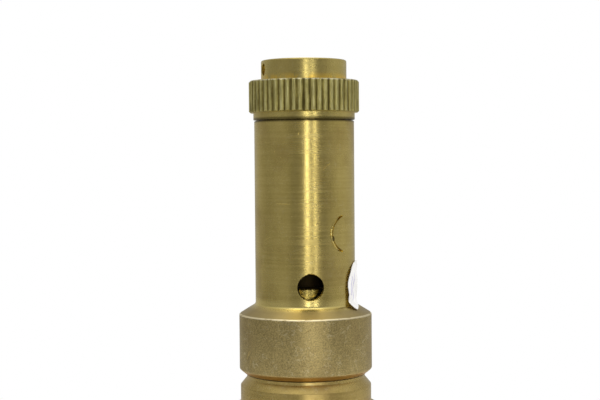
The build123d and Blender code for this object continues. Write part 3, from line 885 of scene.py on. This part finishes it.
def makeInlet(shape):
    low, high = (corner.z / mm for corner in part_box("inlet_body"))
    root, edge = shape["threadRoot"], shape["edge"]
    waist = shape["shoulderRadius"] - shape["relief"]
    under = shape["hexTop"] - 1       # the body starts inside the hexagon
    outline = [
        (shape["boreRadius"] + edge, low, 0), (root - shape["threadEdge"], low, 0.1),
        (root, low + shape["threadEdge"], 0.1), (root, 0, 0.25),
        (shape["sealInner"], 0, 0), (shape["sealInner"], shape["sealDepth"], 0),
        (shape["sealOuter"], shape["sealDepth"], 0), (shape["sealOuter"], 0, 0),
        (shape["shoulderRadius"], 0, 0.25), (shape["shoulderRadius"], shape["shoulderTop"], 0),
        (waist, shape["shoulderTop"], 0), (waist, under, 0), (shape["bodyRadius"], under, 0),
        (shape["bodyRadius"], shape["bodyEdge"], 0.12), (shape["grooveRadius"], shape["grooveLow"], 0.1),
        (shape["grooveRadius"], shape["joint"], 0), (shape["bossRadius"], shape["joint"], 0),
        (shape["bossRadius"], shape["bossTop"] - edge, 0),
        (shape["bossRadius"] - edge, shape["bossTop"], 0),
        (shape["nozzleRadius"], shape["bossTop"], 0.2), (shape["nozzleRadius"], high, 0.1),
        (shape["seatRadius"], high, 0), (shape["seatRadius"], shape["seatLow"], 0),
        (shape["throatRadius"], shape["seatLow"], 0), (shape["throatRadius"], shape["throatLow"], 0.4),
        (shape["boreRadius"], shape["boreTop"], 0.4), (shape["boreRadius"], low + edge, 0),
    ]
    piece = asObject("inletBody", turnedShape(outline), "inletBrass")
    cut(piece, makeHexRing(shape), "UNION")
    thread = makeThread(shape, low)
    bm = bmesh.new()
    bm.from_mesh(piece.data)
    bm.from_mesh(thread.data)
    bm.to_mesh(piece.data)
    bm.free()
    bpy.data.objects.remove(thread)
    finishPart(piece, "housing", "inlet_body")


def makeHexRing(shape):
    # the hexagon bored out, so the joined body keeps its inlet bore
    hexagon = makeHex(shape)
    inner = shape["bodyRadius"] - 1.5
    low, high = shape["shoulderHeight"] - 1, shape["hexTop"] + 1
    bore = turnedShape([(0, low), (inner, low), (inner, high), (0, high)])
    cut(hexagon, asObject("bore", bore, "inletBrass"))
    return hexagon


nutShape = {
    "flats": 10.0, "hexEdge": 0.1, "bore": 3.02, "boreEdge": 0.3,
    "pinHeight": 97.2, "pinHole": 0.77, "pinReach": 8,
}


def makeNut(shape):
    low, high = (corner.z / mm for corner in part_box("spindle_nut"))
    nut, past = makeHexagon("spindleNut", shape["flats"], low, high, "machinedSteel")
    face = shape["flats"] / 2 - shape["hexEdge"]
    drop = (past - face) * hexLook["slope"]
    bore, edge = shape["bore"], shape["boreEdge"]
    outline = [
        (bore + edge, low), (face, low), (past, low + drop), (past, high - drop),
        (face, high), (bore + edge, high), (bore, high - edge), (bore, low + edge),
    ]
    cut(nut, asObject("envelope", turnedShape(outline, 96), "machinedSteel"), "INTERSECT")
    cut(nut, drill(90, shape["pinHeight"], shape["pinHole"], -shape["pinReach"], shape["pinReach"]))
    finishPart(nut, "plunger", "spindle_nut")


springShape = {
    "coilRadius": 6.75, "wire": 1.2, "pitch": 3.8, "sink": 0.3, "clear": 0.02,
    "sides": 20, "stepsPerTurn": 60,
    # body each length rides on, joint that presses it, and whether its top end is the held one
    "lengths": [
        ("cap_washer", "pop_lift", True),
        ("housing", "cap_rise", True),
        ("housing", "adjuster_travel", False),
    ],
}


def makeSpring(shape):
    # one coil in three lengths, each one carried by its own body
    low, high = (corner.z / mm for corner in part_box("pressure_spring"))
    start = low + shape["sink"]
    length = (high - shape["sink"] - start) / len(shape["lengths"])
    travels = {joint["name"]: joint.get("range_m") for joint in frame["record"]["behaviour"]["joints"]}
    steps = round(length / shape["pitch"] * shape["stepsPerTurn"])
    for count, (body, joint, heldTop) in enumerate(shape["lengths"]):
        bottom = start + count * length
        bm = bmesh.new()
        bmesh.ops.create_circle(bm, radius=shape["wire"] * mm, segments=shape["sides"])
        turnMesh(bm, 90, "X")
        liftMesh(bm, shape["coilRadius"], bottom)
        turnMesh(bm, (bottom - start) / shape["pitch"] * 360, "Z")
        bmesh.ops.spin(bm, geom=bm.verts[:] + bm.edges[:], cent=(0, 0, 0), axis=(0, 0, 1),
                       angle=length / shape["pitch"] * tau, dvec=(0, 0, length * mm / steps), steps=steps)
        fillHoles(bm)
        for level, away in ((low + shape["clear"], -1), (high - shape["clear"], 1)):
            whole = bm.verts[:] + bm.edges[:] + bm.faces[:]
            bmesh.ops.bisect_plane(bm, geom=whole, plane_co=(0, 0, level * mm), plane_no=(0, 0, away),
                                   clear_outer=True)
        fillHoles(bm)
        bmesh.ops.recalc_face_normals(bm, faces=bm.faces[:])
        piece = asObject(f"pressureSpring{count + 1}", bm, "springSteel")
        finishPart(piece, body, "pressure_spring")
        anchor = bottom + length if heldTop else bottom
        pressed = length if count == 1 else length + shape["sink"]     # the ground ends reach past the coil
        travel = max(abs(limit) for limit in travels[joint]) / mm
        anchor * mm
        1 - travel / pressed
        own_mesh(piece)


labelShape = {
    "radius": 6.05, "height": 42.9, "azimuth": 75.0, "thick": 0.10, "rings": 14, "segments": 96,
    "barrelRadius": 12.45, "clear": 0.22,
    # each edge comes away from where it starts, over a span, with a power for its curve (mm)
    "peel": 0.30, "peelFrom": 1.5, "peelSpan": 4.75, "peelPower": 1.6,
    "lift": 0.7, "liftFrom": -1, "liftSpan": 7, "liftPower": 1.5, "wave": 0.10,
    "flareFrom": 39.2, "flare": 0.98, "leanFrom": 41.0, "lean": 2.6, "trimFrom": -2.2, "trim": 0.14,
}


def makeLabel(shape):
    bm = bmesh.new()
    flat = bm.loops.layers.uv.new("flat")
    rings = shape["rings"]
    row = [bm.verts.new((shape["radius"] * step / rings, 0, 0)) for step in range(rings + 1)]
    spokes = [bm.edges.new(pair) for pair in zip(row, row[1:])]
    bmesh.ops.spin(bm, geom=row + spokes, cent=(0, 0, 0), axis=(0, 0, 1), angle=tau,
                   steps=shape["segments"], use_merge=True)
    bmesh.ops.remove_doubles(bm, verts=bm.verts[:], dist=1e-4)
    for face in bm.faces:
        for loop in face.loops:
            loop[flat].uv = (loop.vert.co.x, loop.vert.co.y)
    for vert in bm.verts:
        side, up = vert.co.x, vert.co.y
        if up < 0:
            up *= max(0.3, 1 - shape["trim"] * max(0, side - shape["trimFrom"]))
        z = shape["height"] + up
        left = max(0, (-side - shape["peelFrom"]) / shape["peelSpan"])
        right = max(0, (side - shape["liftFrom"]) / shape["liftSpan"])
        lift = shape["peel"] * left ** shape["peelPower"] + shape["lift"] * right ** shape["liftPower"]
        lift += shape["wave"] * (sin(up * 1.1 + side * 0.4) + 1)
        lift += shape["flare"] * max(0, shape["flareFrom"] - z)
        reach = shape["barrelRadius"] + shape["clear"] + lift
        lean = radians(shape["lean"] * max(0, shape["leanFrom"] - z))
        turn = radians(shape["azimuth"]) - lean + side / (shape["barrelRadius"] + 0.4)
        vert.co = Vector((sin(turn) * reach, -cos(turn) * reach, z)) * mm
    bmesh.ops.recalc_face_normals(bm, faces=bm.faces[:])
    out = outwards(shape["azimuth"])
    if sum(face.normal.dot(out) for face in bm.faces) < 0:
        bmesh.ops.reverse_faces(bm, faces=bm.faces[:])
    bmesh.ops.solidify(bm, geom=bm.faces[:], thickness=shape["thick"] * mm)
    piece = asObject("inspectionLabel", bm, "labelPaper")
    finishPart(piece, "housing", "inspection_label")


finishes = {
    "housingBrass": housingFinish("housingBrass", brassLook["barrel"], brassLook["collar"]),
    "capBrass": capFinish("capBrass", brassLook["cap"]),
    "inletBrass": brassFinish("inletBrass", brassLook["inlet"]),
    "innerBrass": brassFinish("innerBrass", brassLook["inner"]),
    "discBrass": discFinish("discBrass", discLook),
    "jointCopper": steelFinish("jointCopper", steelLook["copper"]),
    "groundSteel": steelFinish("groundSteel", steelLook["ground"]),
    "machinedSteel": steelFinish("machinedSteel", steelLook["machined"]),
    "springSteel": steelFinish("springSteel", steelLook["spring"]),
    "polishedSteel": steelFinish("polishedSteel", steelLook["polished"]),
    "labelPaper": paperFinish("labelPaper", paperLook),
    "blackRubber": softFinish("blackRubber", rubberLook),
}
print("finishes made:", len(finishes))


makeHousing(housingShape)
print("housing made")
makeCap(capShape)
print("cap made")
makeInlet(inletShape)
print("inlet made")
makeNut(nutShape)
makeSpring(springShape)
print("spring made")
makeLabel(labelShape)
print("label made")


plainPieces = {
    "inlet_seal_ring": "blackRubber", "seat_ring": "groundSteel", "body_joint_washer": "jointCopper",
    "guide_bush": "innerBrass", "valve_disc": "discBrass", "disc_seal": "blackRubber",
    "seal_washer": "machinedSteel", "seal_screw": "machinedSteel", "thrust_ball": "polishedSteel",
    "spindle_snap_ring": "springSteel", "spindle": "groundSteel", "lower_spring_plate": "innerBrass",
    "upper_spring_plate": "innerBrass", "adjusting_screw": "innerBrass",
    "adjuster_lock_nut": "innerBrass", "slip_washer": "machinedSteel", "nut_lock_pin": "machinedSteel",
}
for name, finish in plainPieces.items():
    piece = nodes[name]
    piece.data.materials.clear()
    piece.data.materials.append(finishes[finish].material)


# radius and drop below the valve in mm, and the two tones of the floor
floorLook = {"radius": 155, "drop": 0.2, "deep": (0.86, 0.86, 0.86), "light": (0.90, 0.90, 0.90)}


def makeFloor(look):
    bm = bmesh.new()
    bmesh.ops.create_circle(bm, cap_ends=True, radius=look["radius"] * mm, segments=128)
    bmesh.ops.translate(bm, vec=(0, 0, cadLow.z - look["drop"] * mm), verts=bm.verts[:])
    made = Finish("paleFloor", {"Metallic": 0.0, "Roughness": 0.7})
    tone = made.noise(made.stretched(0.004, 0.004, 0.004), 1.0, 3.0)
    made.feed("Base Color", made.mix(made.between(tone, 0.3, 0.7), look["deep"], look["light"]))
    finishes["paleFloor"] = made
    asObject("floor", bm, "paleFloor")


makeFloor(floorLook)
